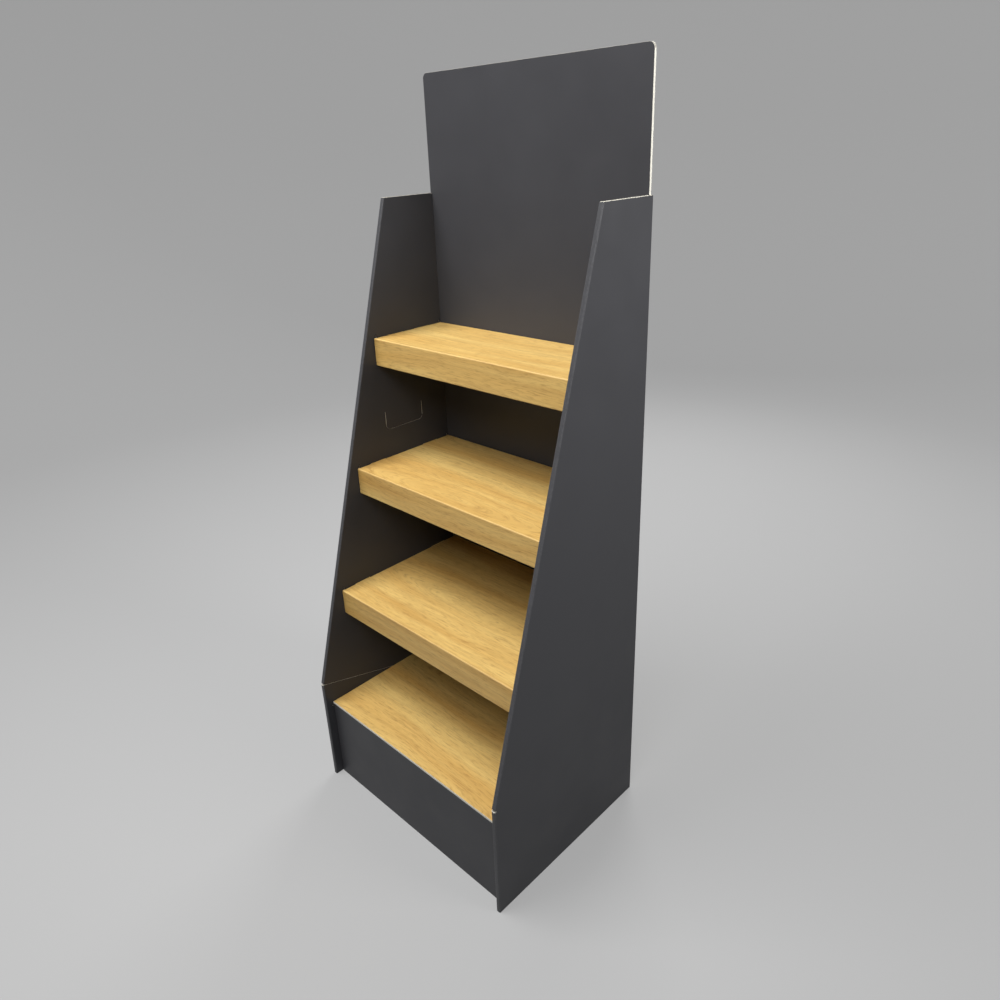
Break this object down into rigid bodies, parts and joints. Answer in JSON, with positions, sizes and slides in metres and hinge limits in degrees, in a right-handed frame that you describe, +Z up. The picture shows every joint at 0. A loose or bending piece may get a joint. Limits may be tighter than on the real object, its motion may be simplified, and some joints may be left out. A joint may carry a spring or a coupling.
{
  "type": "cardboard display stand",
  "caption": "Free-standing cardboard display stand: dark folded side walls that lean back, a tall plain header, woodgrain shelf trays with folded lips, and a recessed base.",
  "frame": {"origin": "on the floor, under the middle of the stand's width and depth", "axes": "+Z up, -Y out of the open front towards the shopper, +X to the right as the shopper faces it"},
  "size_m": [0.6, 0.473, 1.644],
  "materials": {
    "dark_print_board": "satin-laminated dark grey print on white corrugated board",
    "oak_print_board": "satin-laminated oak woodgrain print on white corrugated board",
    "white_board": "plain uncoated white corrugated board"
  },
  "bodies": {
    "root": {"back_panel": "dark_print_board", "left_side_wall": "dark_print_board", "right_side_wall": "dark_print_board", "top_shelf_tray": "oak_print_board", "middle_shelf_tray": "oak_print_board", "lower_shelf_tray": "oak_print_board", "base_shelf": "oak_print_board", "base_front_panel": "dark_print_board", "base_cross_rib": "white_board", "left_base_rib": "white_board", "right_base_rib": "white_board"}
  },
  "joints": []
}
